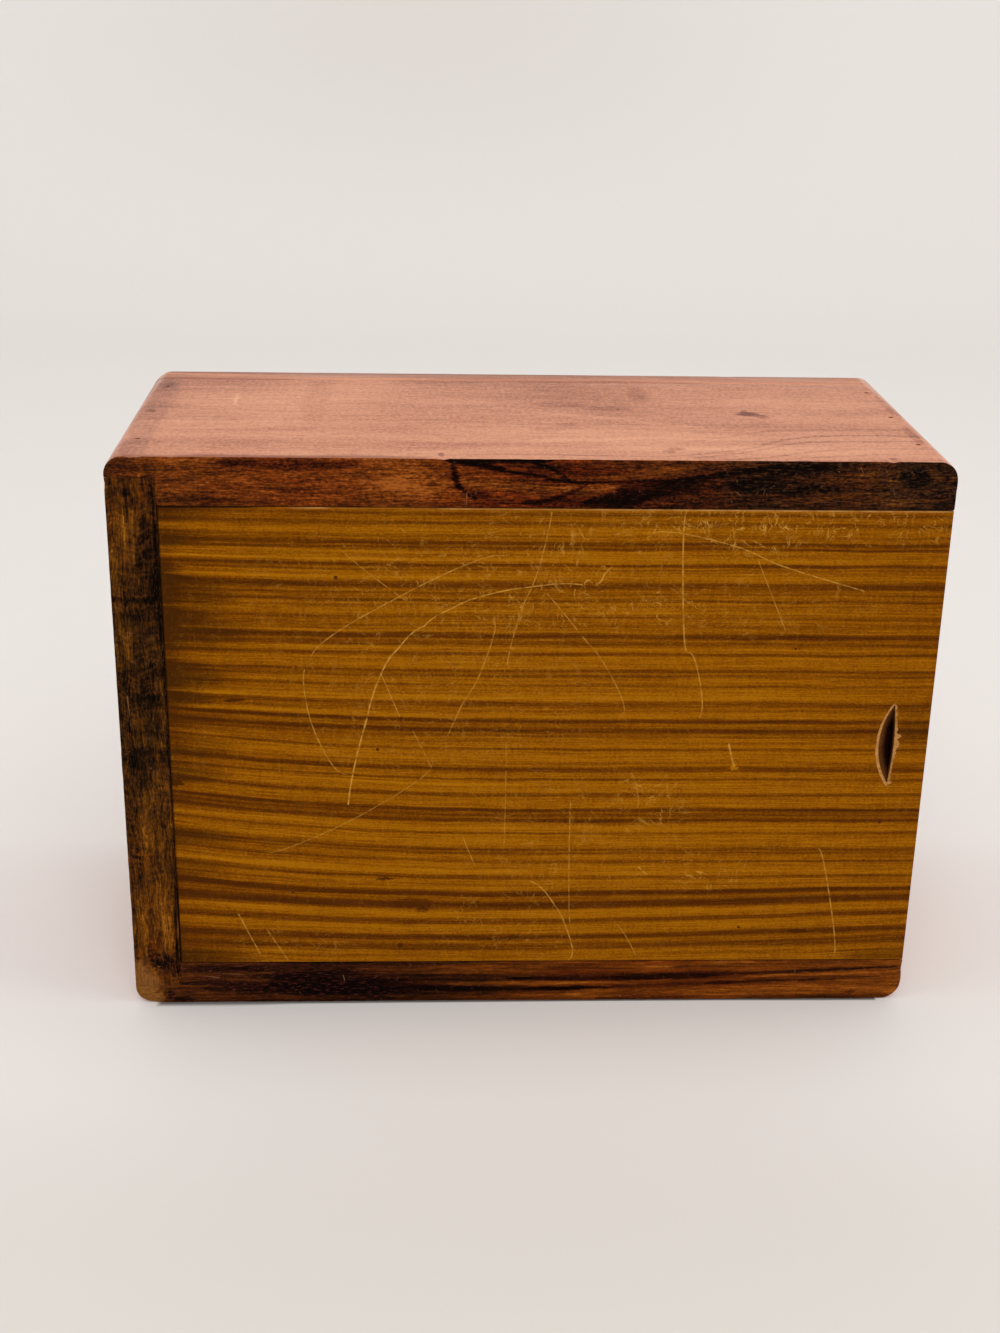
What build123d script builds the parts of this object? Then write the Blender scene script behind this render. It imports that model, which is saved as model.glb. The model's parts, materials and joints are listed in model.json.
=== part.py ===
from build123d import *
from math import atan2, cos, sin
import os

# A small rosewood urn box, lying on one long side with its sliding panel facing -Y.
# +X runs along the box to the end where the panel draws out, and +Z is up. The origin is the
# middle of the footprint, on the surface that the box lies on. All sizes are in millimetres.

# Outside of the closed box
length = 204.0
depth = 93.0
height = 149.0
corner_radius = 4.6  # the four rounded corners, which run along Y
face_edge_radius = 1.8  # worn edge round the display face
rim_edge_radius = 0.35  # crisp edge round the sliding side

# Boards
wall_thickness = 12.0  # the two long boards and the two end boards
face_thickness = 11.0  # the face board, glued over the four others
rebate_lip = 5.2  # wood that a long board keeps over an end board

# Sliding panel and the grooves that it runs in
panel_cover = 3.0  # wood in front of the groove
tongue_thickness = 4.0
tongue_reach = 4.0  # how far the tongues stand into the boards
slide_clearance = 0.2  # round the panel's front and round its tongues
end_setback = 0.2  # the drawing end stops just inside the end of the box
veneer_thickness = 0.6
veneer_edge_radius = 0.25

# Thumbnail notch: an upright stop cut, and a gouge cut that slopes down to it
notch_length = 23.2
notch_stop_bulge = 1.7  # how far the stop cut bows towards the drawing end
notch_slope_bulge = 3.7  # how far the gouge cut bows the other way
notch_depth = 3.6
notch_from_end = 9.2  # from the panel's drawing end to the notch's two tips

# Brads through the long boards into the end boards
brad_diameter = 1.3
brad_length = 20.0
brad_set = 0.4  # heads driven below the surface
brad_spacing = 28.0
brads_per_corner = 3

# Shared places. Those across the box's height are counted from its middle.
mid_z = height / 2
inner_x = length / 2 - wall_thickness
inner_z = height / 2 - wall_thickness
rim_y = -depth / 2
joint_y = depth / 2 - face_thickness
wall_depth = joint_y - rim_y
rebate_depth = wall_thickness - rebate_lip
groove_depth = tongue_reach + slide_clearance
groove_width = tongue_thickness + 2 * slide_clearance
groove_front_y = rim_y + panel_cover
groove_back_y = groove_front_y + groove_width
end_board_height = height - 2 * rebate_lip
brad_middle_y = (groove_back_y + joint_y) / 2

# Sliding panel, from the same places
field_start_x = -inner_x + slide_clearance
field_height = 2 * (inner_z - slide_clearance)
tongue_start_x = -inner_x - tongue_reach
tongue_height = 2 * (inner_z + tongue_reach)
panel_end_x = length / 2 - end_setback
tongue_front_y = groove_front_y + slide_clearance
veneer_back_y = rim_y + veneer_thickness


def facing_plane(y):
    """A sketch plane square to Y at mid-height: sketch x is +X, and sketch y is +Z."""
    return Plane(origin=(0, y, mid_z), x_dir=(1, 0, 0), z_dir=(0, -1, 0))


os.makedirs("parts", exist_ok=True)

# The closed box as one block. The outside boards are cut to it, so that its rounded corners
# and edges run on from board to board.
with BuildPart() as outer_form:
    with BuildSketch(facing_plane(rim_y)):
        RectangleRounded(length, height, corner_radius)
    extrude(amount=-depth)
    fillet(outer_form.faces().sort_by(Axis.Y)[0].edges(), rim_edge_radius)
    fillet(outer_form.faces().sort_by(Axis.Y)[-1].edges(), face_edge_radius)

# The holes that the brads make, from the long boards' outer faces to the brads' points
with BuildPart() as brad_holes:
    with BuildSketch(Plane((0, brad_middle_y, 0))):
        with GridLocations(length - wall_thickness, brad_spacing, 2, brads_per_corner):
            Circle(brad_diameter / 2)
    extrude(amount=brad_set + brad_length)
    mirror(about=Plane.XY.offset(mid_z))

# The notch that the panel is drawn by. Both cuts are round, and they meet at its deepest edge.
half_notch = notch_length / 2
notch_slope = atan2(notch_depth, notch_stop_bulge + notch_slope_bulge)
stop_radius = (half_notch**2 + notch_stop_bulge**2) / (2 * notch_stop_bulge)
gouge_sink = notch_slope_bulge * sin(notch_slope)
gouge_radius = (half_notch**2 + gouge_sink**2) / (2 * gouge_sink)
notch_tips_x = panel_end_x - notch_from_end
gouge_axis = Vector(
    notch_tips_x - notch_slope_bulge + gouge_radius * sin(notch_slope),
    rim_y - gouge_radius * cos(notch_slope),
    mid_z,
)
with BuildPart() as notch:
    with BuildSketch(facing_plane(rim_y)):
        with Locations((notch_tips_x + notch_stop_bulge - stop_radius, 0)):
            Circle(stop_radius)
    extrude(amount=notch_length, both=True)
    with BuildSketch(Plane(gouge_axis, z_dir=(cos(notch_slope), sin(notch_slope), 0))):
        Circle(gouge_radius)
    extrude(amount=notch_length, both=True, mode=Mode.INTERSECT)

# Upper long board: rebated over both end boards, and grooved from end to end
with BuildPart() as upper_long_board:
    with BuildSketch(facing_plane(rim_y)):
        with Locations((-length / 2, inner_z)):
            Rectangle(length, wall_thickness, align=Align.MIN)
    extrude(amount=-wall_depth)
    # The closed end's rebate runs out at the rim
    with BuildSketch(facing_plane(rim_y)):
        with Locations((-length / 2, inner_z)):
            Rectangle(wall_thickness, rebate_depth, align=Align.MIN)
    extrude(amount=-wall_depth, mode=Mode.SUBTRACT)
    # The other end's rebate stops at the groove, where the panel passes
    with BuildSketch(facing_plane(groove_back_y)):
        with Locations((inner_x, inner_z)):
            Rectangle(wall_thickness, rebate_depth, align=Align.MIN)
    extrude(amount=groove_back_y - joint_y, mode=Mode.SUBTRACT)
    with BuildSketch(Plane.YZ.offset(-length / 2)):
        with Locations((groove_front_y, mid_z + inner_z)):
            Rectangle(groove_width, groove_depth, align=Align.MIN)
    extrude(amount=length, mode=Mode.SUBTRACT)
    add(outer_form.part, mode=Mode.INTERSECT)
    add(brad_holes.part, mode=Mode.SUBTRACT)
upper_long_board.part.label = "upper_long_board"
export_step(upper_long_board.part, "parts/upper_long_board.step")

# Lower long board: the same board the other way up
with BuildPart() as lower_long_board:
    mirror(upper_long_board.part, about=Plane.XY.offset(mid_z))
lower_long_board.part.label = "lower_long_board"
export_step(lower_long_board.part, "parts/lower_long_board.step")

# Closed end board: it reaches the rim, and the panel's end tongue goes into its groove
with BuildPart() as closed_end_board:
    with BuildSketch(facing_plane(rim_y)):
        with Locations((-length / 2, 0)):
            Rectangle(wall_thickness, end_board_height, align=(Align.MIN, Align.CENTER))
    extrude(amount=-wall_depth)
    with BuildSketch(Plane.XY):
        with Locations((-inner_x, groove_front_y)):
            Rectangle(groove_depth, groove_width, align=(Align.MAX, Align.MIN))
    extrude(amount=height, mode=Mode.SUBTRACT)
    add(outer_form.part, mode=Mode.INTERSECT)
    add(brad_holes.part, mode=Mode.SUBTRACT)
closed_end_board.part.label = "closed_end_board"
export_step(closed_end_board.part, "parts/closed_end_board.step")

# Open end board: it stops at the back of the groove, so that the panel passes in front of it
with BuildPart() as open_end_board:
    with BuildSketch(facing_plane(groove_back_y)):
        with Locations((inner_x, 0)):
            Rectangle(wall_thickness, end_board_height, align=(Align.MIN, Align.CENTER))
    extrude(amount=groove_back_y - joint_y)
    add(outer_form.part, mode=Mode.INTERSECT)
    add(brad_holes.part, mode=Mode.SUBTRACT)
open_end_board.part.label = "open_end_board"
export_step(open_end_board.part, "parts/open_end_board.step")

# Face board: the display face, over the edges of the four others
with BuildPart() as face_board:
    with BuildSketch(facing_plane(joint_y)):
        Rectangle(length, height)
    extrude(amount=-face_thickness)
    add(outer_form.part, mode=Mode.INTERSECT)
face_board.part.label = "face_board"
export_step(face_board.part, "parts/face_board.step")

# Sliding panel: a core that is tongued along both sides and at its inner end
with BuildPart() as sliding_panel:
    with BuildSketch(facing_plane(veneer_back_y)):
        with Locations((field_start_x, 0)):
            Rectangle(panel_end_x - field_start_x, field_height, align=(Align.MIN, Align.CENTER))
    extrude(amount=veneer_back_y - tongue_front_y)
    with BuildSketch(facing_plane(tongue_front_y)):
        with Locations((tongue_start_x, 0)):
            Rectangle(panel_end_x - tongue_start_x, tongue_height, align=(Align.MIN, Align.CENTER))
    extrude(amount=-tongue_thickness)
    add(notch.part, mode=Mode.SUBTRACT)
sliding_panel.part.label = "sliding_panel"
export_step(sliding_panel.part, "parts/sliding_panel.step")

# Striped veneer on the panel's front, with the notch cut through it
with BuildPart() as panel_veneer:
    with BuildSketch(facing_plane(rim_y)):
        with Locations((field_start_x, 0)):
            Rectangle(panel_end_x - field_start_x, field_height, align=(Align.MIN, Align.CENTER))
    extrude(amount=-veneer_thickness)
    fillet(panel_veneer.faces().sort_by(Axis.Y)[0].edges(), veneer_edge_radius)
    add(notch.part, mode=Mode.SUBTRACT)
panel_veneer.part.label = "panel_veneer"
export_step(panel_veneer.part, "parts/panel_veneer.step")

# Brads: headless pins, three at each end of each long board
with BuildPart() as corner_brads:
    with BuildSketch(Plane((0, brad_middle_y, brad_set))):
        with GridLocations(length - wall_thickness, brad_spacing, 2, brads_per_corner):
            Circle(brad_diameter / 2)
    extrude(amount=brad_length)
    mirror(about=Plane.XY.offset(mid_z))
corner_brads.part.label = "corner_brads"
export_step(corner_brads.part, "parts/corner_brads.step")
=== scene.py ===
import json
import math

import bmesh
import bpy
from mathutils import Matrix, Vector, noise

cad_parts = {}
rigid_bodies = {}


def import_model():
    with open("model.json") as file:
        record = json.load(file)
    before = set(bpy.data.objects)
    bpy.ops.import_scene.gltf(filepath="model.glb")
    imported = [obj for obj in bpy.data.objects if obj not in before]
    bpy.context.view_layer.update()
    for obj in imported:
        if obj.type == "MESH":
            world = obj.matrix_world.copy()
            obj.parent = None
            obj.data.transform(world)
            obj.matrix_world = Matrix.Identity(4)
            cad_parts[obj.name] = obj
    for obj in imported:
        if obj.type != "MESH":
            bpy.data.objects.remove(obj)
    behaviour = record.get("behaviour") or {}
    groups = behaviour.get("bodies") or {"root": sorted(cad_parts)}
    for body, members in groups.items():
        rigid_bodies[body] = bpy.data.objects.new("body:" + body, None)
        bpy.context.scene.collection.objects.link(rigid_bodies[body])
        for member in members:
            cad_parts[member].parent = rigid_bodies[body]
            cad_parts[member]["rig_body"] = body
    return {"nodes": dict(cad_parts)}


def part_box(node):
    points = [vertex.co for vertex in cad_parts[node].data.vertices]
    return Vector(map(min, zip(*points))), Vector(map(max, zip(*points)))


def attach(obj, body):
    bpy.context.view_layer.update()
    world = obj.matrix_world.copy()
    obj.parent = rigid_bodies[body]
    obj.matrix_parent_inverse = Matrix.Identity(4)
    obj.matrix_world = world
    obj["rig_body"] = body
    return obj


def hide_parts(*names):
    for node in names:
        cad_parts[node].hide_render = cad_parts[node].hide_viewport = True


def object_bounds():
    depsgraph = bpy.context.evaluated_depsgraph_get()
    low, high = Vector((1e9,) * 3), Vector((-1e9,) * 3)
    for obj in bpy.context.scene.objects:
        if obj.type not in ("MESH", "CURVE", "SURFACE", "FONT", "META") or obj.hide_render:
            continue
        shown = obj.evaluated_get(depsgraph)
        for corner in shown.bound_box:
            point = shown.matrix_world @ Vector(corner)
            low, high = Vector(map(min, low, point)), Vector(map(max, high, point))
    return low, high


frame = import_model()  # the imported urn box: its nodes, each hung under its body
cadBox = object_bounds()
print("loaded the frame:", ", ".join(sorted(frame["nodes"])))

# Lengths are in metres in the scene, and in millimetres where a piece or a finish is described.
mm = 0.001


def boxOf(node):  # a node's lowest and highest corner, in millimetres
    low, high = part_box(node)
    return low / mm, high / mm


boxLow, boxHigh = cadBox[0] / mm, cadBox[1] / mm
middle = (boxLow + boxHigh) / 2
veneerLow, veneerHigh = boxOf("panel_veneer")
rimY = boxLow.y  # the plane of the rims and of the panel's front
jointY = boxOf("upper_long_board")[1].y  # where the face board is glued on


# Shading: a Wire is a socket that takes part in sums, and a Paint is one material

class Wire:
    def __init__(self, paint, socket):
        self.paint = paint
        self.socket = socket

    def sum(self, operation, *others):
        return self.paint.node("Math", {"operation": operation}, [self, *others])

    def __add__(self, other):
        return self.sum("ADD", other)

    def __sub__(self, other):
        return self.sum("SUBTRACT", other)

    def __mul__(self, other):
        return self.sum("MULTIPLY", other)

    def __truediv__(self, other):
        return self.sum("DIVIDE", other)

    def __pow__(self, other):
        return self.sum("POWER", other)

    def __abs__(self):
        return self.sum("ABSOLUTE")

    def __rsub__(self, other):
        return self.paint.node("Math", {"operation": "SUBTRACT"}, [other, self])

    def __rtruediv__(self, other):
        return self.paint.node("Math", {"operation": "DIVIDE"}, [other, self])

    __radd__ = __add__
    __rmul__ = __mul__

    def atLeast(self, other):
        return self.sum("MAXIMUM", other)

    def atMost(self, other):
        return self.sum("MINIMUM", other)


class Paint:
    def __init__(self, name):
        self.material = bpy.data.materials.new(name)
        self.material.use_nodes = True
        self.tree = self.material.node_tree
        self.tree.nodes.clear()
        spot = self.node("SeparateXYZ", {}, [self.node("TexCoord", out="Object")])
        self.x, self.y, self.z = (Wire(self, spot.socket.node.outputs[k]) / mm for k in range(3))

    def node(self, kind, settings=None, inputs=(), out=0):
        made = self.tree.nodes.new("ShaderNode" + kind)
        for name, value in (settings or {}).items():
            if name == "curve":
                points = made.mapping.curves[0].points
                for k, (place, height) in enumerate(value):
                    if k < 2:
                        points[k].location = (place, height)
                    else:
                        points.new(place, height)
                made.mapping.update()
            elif name == "stops":
                for k, (place, shade) in enumerate(value):
                    stop = made.color_ramp.elements[k] if k < 2 else made.color_ramp.elements.new(place)
                    stop.position = place
                    stop.color = (*shade, 1)
            else:
                setattr(made, name, value)
        for key, value in (inputs.items() if isinstance(inputs, dict) else enumerate(inputs)):
            if isinstance(value, Wire):
                self.tree.links.new(value.socket, made.inputs[key])
            elif made.inputs[key].type == "RGBA":
                made.inputs[key].default_value = (*value, 1)
            else:
                made.inputs[key].default_value = value
        return Wire(self, made.outputs[out]) if made.outputs else None

    def ease(self, value, low, high, fromThis=0.0, toThis=1.0):  # a smooth step, clamped
        smooth = {"interpolation_type": "SMOOTHSTEP"}
        return self.node("MapRange", smooth, [value, low, high, fromThis, toThis])

    def spread(self, value, low, high, fromThis=0.0, toThis=1.0):  # a straight ramp, clamped
        return self.node("MapRange", {}, [value, low, high, fromThis, toThis])

    def hump(self, value, centre, half, height=1.0):  # a smooth bump of that height
        return self.ease(abs(value - centre), 0.0, half, height, 0.0)

    def profile(self, value, points):  # a smooth curve through (value, height) points
        first, last = points[0][0], points[-1][0]
        low = min(height for place, height in points)
        rise = max(max(height for place, height in points) - low, 0.001)
        curve = [((place - first) / (last - first), (height - low) / rise) for place, height in points]
        found = self.node("FloatCurve", {"curve": curve}, {"Value": self.spread(value, first, last)})
        return found.sum("MULTIPLY_ADD", rise, low)

    def point(self, a, b, c):
        return self.node("CombineXYZ", {}, [a, b, c])

    def cloud(self, a, b, c, size, detail=2, low=0.25, high=0.75):  # noise from 0 to 1
        place = self.point(a / size[0], b / size[1], c / size[2])
        inputs = {"Vector": place, "Scale": 1.0, "Detail": detail, "Roughness": 0.55}
        return self.spread(self.node("TexNoise", {}, inputs), low, high)

    def vary(self, a, b, c, size, detail=2, low=0.25, high=0.75):  # noise from -0.5 to 0.5
        return self.cloud(a, b, c, size, detail, low, high) - 0.5

    def mix(self, share, first, second):
        return self.node("Mix", {"data_type": "RGBA"}, {0: share, 6: first, 7: second}, out=2)

    def tinted(self, colour, tint, share=1.0):
        settings = {"data_type": "RGBA", "blend_type": "MULTIPLY"}
        return self.node("Mix", settings, {0: share, 6: colour, 7: tint}, out=2)

    def shades(self, value, stops):  # a colour for each value
        return self.node("ValToRGB", {"stops": stops}, [value])

    def strokes(self, along, across, table, edge):  # the sum of streaks through their points
        total = 0.0
        for strength, *points in table:
            centre = self.profile(along, [(a, b) for a, b, half in points])
            half = self.profile(along, [(a, half) for a, b, half in points])
            reach = (points[-1][0] - points[0][0]) / 2
            past = (abs(along - points[0][0] - reach) - reach).atLeast(0) * 0.5
            off = (abs(across - centre) + past) / half.atLeast(0.01)
            total = self.ease(off, 1 + edge, 1 - edge) * strength + total
        return total

    def scratch(self, points, half):  # a thin line through (x, z) points on the front
        start, end = Vector(points[0]), Vector(points[-1])
        length = (end - start).length
        way = (end - start) / length
        side = Vector((-way.y, way.x))
        place = self.point(self.x, self.z, 1.0)
        dot = {"operation": "DOT_PRODUCT"}
        along = self.node("VectorMath", dot, [place, (way.x, way.y, -start.dot(way))], out=1)
        across = self.node("VectorMath", dot, [place, (side.x, side.y, -start.dot(side))], out=1)
        if len(points) > 2:
            offsets = [Vector(point) - start for point in points]
            across = across - self.profile(along, [(off.dot(way), off.dot(side)) for off in offsets])
        past = (abs(along - length / 2) - length / 2).atLeast(0)
        return self.ease(abs(across) + past, half * 1.5, half * 0.5)

    def blot(self, along, across, place, size, edge):  # an oval spot
        off = ((along - place[0]) / size[0]) ** 2 + ((across - place[1]) / size[1]) ** 2
        return self.ease(off, 1 + edge, 1 - edge)

    def blots(self, along, across, table, edge):  # the sum of spots: place, half sizes, strength
        total = 0.0
        for a, b, halfA, halfB, strength in table:
            total = self.blot(along, across, (a, b), (halfA, halfB), edge) * strength + total
        return total

    def dress(self, colour, roughness, height, depth, specular):
        normal = self.node("Bump", {}, {"Strength": 1.0, "Distance": depth * mm, "Height": height})
        surface = self.node("BsdfPrincipled", {}, {
            "Base Color": colour, "Roughness": roughness, "Normal": normal,
            "Specular IOR Level": specular,
        })
        self.node("OutputMaterial", {}, [surface])
        return self.material


def seen(red, green, blue):  # a colour by its screen values, as the shaders take it
    return tuple(((level / 255 + 0.055) / 1.055) ** 2.4 if level > 10 else level / 255 / 12.92
                 for level in (red, green, blue))


# Shaping: a packed board's own mesh, cut finely enough to show its wear

wear = {
    "arris": 0.05,  # how far each sharp edge is eased
    "support": 0.14,  # a loop is kept this far from each edge
    "loops": (0.4, 0.8, 1.3, 1.9),  # and more of them this far from the box's own faces
    "rounding": 0.26,  # most wood worn off an outer edge
    "reach": 1.9,  # how far in from the edge the wear goes
    "patch": 7.0,  # length of a worn patch
    "nick": 1.7,  # and of the smaller unevenness in it
    "outline": 4.6,  # radius of the box's corners
    "corner": 6.0,  # radius of the right lower corner, which is worn rounder
    "edgeAngle": 50,  # an edge that turns further than this stays sharp
    "dents": [  # where, how wide and how deep
        ((-95.0, -46.5, 149.0), 2.2, 0.5), ((-86.0, -46.5, 149.0), 1.5, 0.25),
        ((-94.4, -46.5, 144.2), 0.9, 0.35), ((-101.8, -46.5, 141.8), 1.4, 0.4),
        ((-22.0, -46.5, 149.0), 1.6, 0.3), ((86.0, -46.5, 149.0), 1.4, 0.3),
        ((98.9, -46.5, 145.2), 0.7, 0.3), ((-98.0, -46.5, 2.0), 3.5, 0.35),
        ((101.6, -46.5, 9.5), 1.6, 0.4), ((-101.5, 46.0, 120.0), 3.0, 0.35),
        ((60.0, 46.0, 149.0), 3.0, 0.12), ((-40.0, 46.2, 0.5), 3.5, 0.4),
        ((99.0, 46.0, 3.5), 4.0, 0.5), ((-99.5, 46.0, 146.5), 4.0, 0.45),
    ],
}


def outlineDepth(x, z):  # how far a point lies inside the box's rounded outline
    radius = wear["outline"]
    right = abs(x) - (boxHigh.x - radius)
    up = abs(z - middle.z) - (boxHigh.z - middle.z - radius)
    return radius - math.hypot(max(right, 0), max(up, 0)) - min(max(right, up), 0)


def cutCopy(node, spacing, zone=None):
    work = bmesh.new()
    work.from_mesh(frame["nodes"][node].data)
    bmesh.ops.remove_doubles(work, verts=work.verts, dist=0.001 * mm)
    if zone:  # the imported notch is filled, and carved again later
        walls = [face for face in work.faces if abs(face.normal.y) < 0.98]
        gone = [face for face in walls if zone(face.calc_center_median() / mm)]
        bmesh.ops.delete(work, geom=gone, context="FACES")
        bmesh.ops.holes_fill(work, edges=[edge for edge in work.edges if edge.is_boundary], sides=0)
    flat = math.radians(0.3)
    bmesh.ops.dissolve_limit(work, angle_limit=flat, verts=work.verts[:], edges=work.edges[:])
    cuts = []
    for axis in range(3):
        places = set()
        for face in work.faces:
            if abs(face.normal[axis]) > 0.9999:
                inside = math.copysign(wear["support"] * mm, -face.normal[axis])
                places.add(round(face.verts[0].co[axis] + inside, 6))
        low, high = (corner[axis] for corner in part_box(node))
        if spacing[axis]:
            count = round((high - low) / (spacing[axis] * mm))
            places.update(low + (high - low) * k / count for k in range(1, count))
        for step in wear["loops"]:
            for place in (cadBox[0][axis] + step * mm, cadBox[1][axis] - step * mm):
                if low < place < high:
                    places.add(place)
        cuts.append((len(places), axis, sorted(places)))
    for count, axis, places in sorted(cuts, reverse=True):  # most cuts first, which is quickest
        across = Vector([float(k == axis) for k in range(3)])
        for place in places:
            bmesh.ops.bisect_plane(work, geom=work.verts[:] + work.edges[:] + work.faces[:], dist=1e-7,
                                   plane_co=across * place, plane_no=across)
    work.normal_update()
    return work


def wearDown(work):
    shifts = []
    for vert in work.verts:
        sides = []
        for face in vert.link_faces:
            if all(face.normal.dot(side) < 0.7 for side in sides):
                sides.append(face.normal.copy())
        shift = sum(sides, Vector()) * -wear["arris"] if len(sides) > 1 else Vector()
        spot = vert.co / mm
        edge = math.hypot(min(spot.y - boxLow.y, boxHigh.y - spot.y), outlineDepth(spot.x, spot.z))
        if edge < wear["reach"]:
            worn = 0.5 + 0.5 * noise.noise(spot / wear["patch"]) + 0.35 * noise.noise(spot / wear["nick"])
            shift -= vert.normal * wear["rounding"] * max(worn, 0) * (1 - edge / wear["reach"]) ** 2
        right, down = spot.x - boxHigh.x + wear["corner"], boxLow.z + wear["corner"] - spot.z
        past = math.hypot(right, down) - wear["corner"]
        if right > 0 and down > 0 and past > 0:
            shift -= Vector((right, 0, -down)).normalized() * past
        for place, radius, depth in wear["dents"]:
            near = (spot - Vector(place)).length / radius
            if near < 1:
                shift -= vert.normal * depth * (1 - near * near) ** 2
        shifts.append(shift * mm)
    for vert, shift in zip(work.verts, shifts):
        vert.co += shift


def makePiece(name, work, node):
    mesh = bpy.data.meshes.new(name)
    work.to_mesh(mesh)
    work.free()
    piece = bpy.data.objects.new(name, mesh)
    bpy.context.scene.collection.objects.link(piece)
    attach(piece, frame["nodes"][node]["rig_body"])
    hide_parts(node)
    return piece


def finishFaces(piece, materials, choose):  # smooth faces, sharp corners, and a material for each face
    for material in materials:
        piece.data.materials.append(material)
    work = bmesh.new()
    work.from_mesh(piece.data)
    for edge in work.edges:
        edge.smooth = edge.calc_face_angle(0) < math.radians(wear["edgeAngle"])
    for face in work.faces:
        face.smooth = True
        face.material_index = choose(face.calc_center_median() / mm, face.normal)
    work.to_mesh(piece.data)
    work.free()


# The thumbnail notch: a gouge cut that slopes down to an upright, bowed stop cut

notch = {
    "tipsX": 92.4,  # where both cuts start, above and below
    "half": 11.7,
    "rise": 0.4,  # above the middle, as it was cut by hand
    "stopBow": 0.8,  # how far each cut bows at mid-height
    "gougeBow": 3.7,
    "depth": 3.6,
    "past": 0.35,  # the cutter runs this far past the tips
    "fade": 1.2,  # and its raggedness dies out over this length
    "bevel": 0.32,  # the veneer's worn lip on the gouge side
    "bevelDepth": 0.4,
    "chips": [  # torn wood on the stop side: height, half length and width
        (77.3, 0.7, 0.9), (75.0, 1.4, 0.65), (76.0, 7.5, 0.6), (84.5, 1.6, 0.3), (66.5, 2.2, 0.25),
        (64.3, 0.6, 0.9),
    ],
    "chipDepth": 0.75,
    "ripple": 0.06,
    "slices": 110,
    "rows": 34,
}


def circleBow(bow, off):  # how far a round cut has left its chord at that height
    radius = (notch["half"] ** 2 + bow ** 2) / (2 * bow)
    return math.sqrt(max(radius ** 2 - off ** 2, 0)) - (radius - bow)


def makeCutter():
    slope = notch["depth"] / (notch["stopBow"] + notch["gougeBow"])
    rows, slices = notch["rows"], notch["slices"]
    reach = notch["half"] + notch["past"]
    verts = []
    for k in range(slices + 1):
        off = reach * (2 * k / slices - 1)
        z = middle.z + notch["rise"] + off
        start = notch["tipsX"] - circleBow(notch["gougeBow"], off)
        stop = notch["tipsX"] + circleBow(notch["stopBow"], off)
        rag = 0.3 + 0.45 * noise.noise(Vector((z, 4, 0))) + 0.35 * noise.noise(Vector((z / 0.45, 9, 0)))
        for place, half, wide in notch["chips"]:
            rag += wide * max(1 - ((z - place) / half) ** 2, 0)
        fade = min(1, (reach - abs(off)) / notch["fade"])
        deepest = max((stop - start) * slope, 0.02 - 0.2 * (1 - fade))
        sinks = [-1 + (1 + deepest) * row / rows for row in range(rows + 1)]  # from 1 mm above the front
        uneven = fade * notch["bevel"] * (0.7 + 0.6 * noise.noise(Vector((z / 1.7, 1, 0))))
        ring = []
        for sink in sinks:  # down the gouge's slope
            lip = uneven * max(0, 1 - abs(sink) / notch["bevelDepth"])
            ripple = notch["ripple"] * noise.noise(Vector((z / 1.3, sink * 1.5, 2))) * max(sink, 0)
            ring.append((start + sink / slope - lip + ripple, sink))
        for sink in reversed(sinks[:-1]):  # and up the stop cut
            chip = max(rag, 0.02) * fade * min(1, max(0, 1 - sink / notch["chipDepth"])) ** 1.5
            ring.append((stop + chip + 0.02, sink))
        verts += [(x * mm, (rimY + sink) * mm, z * mm) for x, sink in ring]
    size = 2 * rows + 1
    faces = [tuple(range(size)), tuple(reversed(range(slices * size, (slices + 1) * size)))]
    for k in range(slices):
        for j in range(size):
            after = (j + 1) % size
            faces.append((k * size + j, (k + 1) * size + j, (k + 1) * size + after, k * size + after))
    mesh = bpy.data.meshes.new("notchCutter")
    mesh.from_pydata(verts, [], faces)
    work = bmesh.new()
    work.from_mesh(mesh)
    bmesh.ops.recalc_face_normals(work, faces=work.faces)
    work.to_mesh(mesh)
    work.free()
    cutter = bpy.data.objects.new("notchCutter", mesh)
    bpy.context.scene.collection.objects.link(cutter)
    return cutter


def inNotch(place):
    return abs(place.x - notch["tipsX"]) < 5 and abs(place.z - middle.z) < notch["half"] + 1


def carve(piece, cutter):
    cut = piece.modifiers.new("notch", "BOOLEAN")
    cut.operation = "DIFFERENCE"
    cut.solver = "EXACT"
    cut.object = cutter
    carved = bpy.data.meshes.new_from_object(piece.evaluated_get(bpy.context.evaluated_depsgraph_get()))
    piece.modifiers.clear()
    filled = piece.data
    piece.data = carved
    bpy.data.meshes.remove(filled)


# Lacquered rosewood on the outside, one cut of it for each board

rosewood = {
    "pores": (4.5, 0.2, 0.2),  # size of a pore along, across and through the grain
    "fibres": (18.0, 0.5, 0.5),
    "rings": 2.6,  # width of a growth band
    "poreDepth": 0.05,
}
warmBrown = [(0.0, seen(44, 16, 9)), (1.0, seen(214, 150, 118)), (0.25, seen(108, 50, 30)),
             (0.5, seen(168, 96, 66)), (0.75, seen(196, 126, 94))]
# the top's painted sheen: the same wood, painted pinker and lighter
topSheenPink = [(0.0, seen(118, 54, 32)), (1.0, seen(231, 166, 130)), (0.3, seen(176, 106, 73)),
           (0.5, seen(203, 132, 97)), (0.75, seen(219, 149, 109))]
topWearAndSheen = {  # wear of the top along x, and the painted sheen across it
    "far": [(-102, -0.02), (-78, -0.04), (-54, 0.09), (-30, 0), (-4, -0.06), (20, -0.02), (56, 0.12),
            (102, 0.1)],  # how pale its far half is
    "dull": [(-102, 0), (-88, 0.05), (-68, 0.28), (-50, 0.55), (-28, 0.42), (-8, 0.28), (12, 0.22),
             (32, 0.28), (54, 0.3), (72, 0.52), (92, 0.2), (102, 0.1)],  # how dull its far edge is
    "worn": [(-102, 0.3), (-80, 0.75), (-40, 0.7), (-26, 0.4), (-20, 0), (102, 0)],  # and its near edge
}
plainBoard = {
    "grain": "x", "wander": 8, "figure": 0.5, "fibre": 0.3, "pores": 0.3, "black": 0.35, "speck": 0.2,
}
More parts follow.
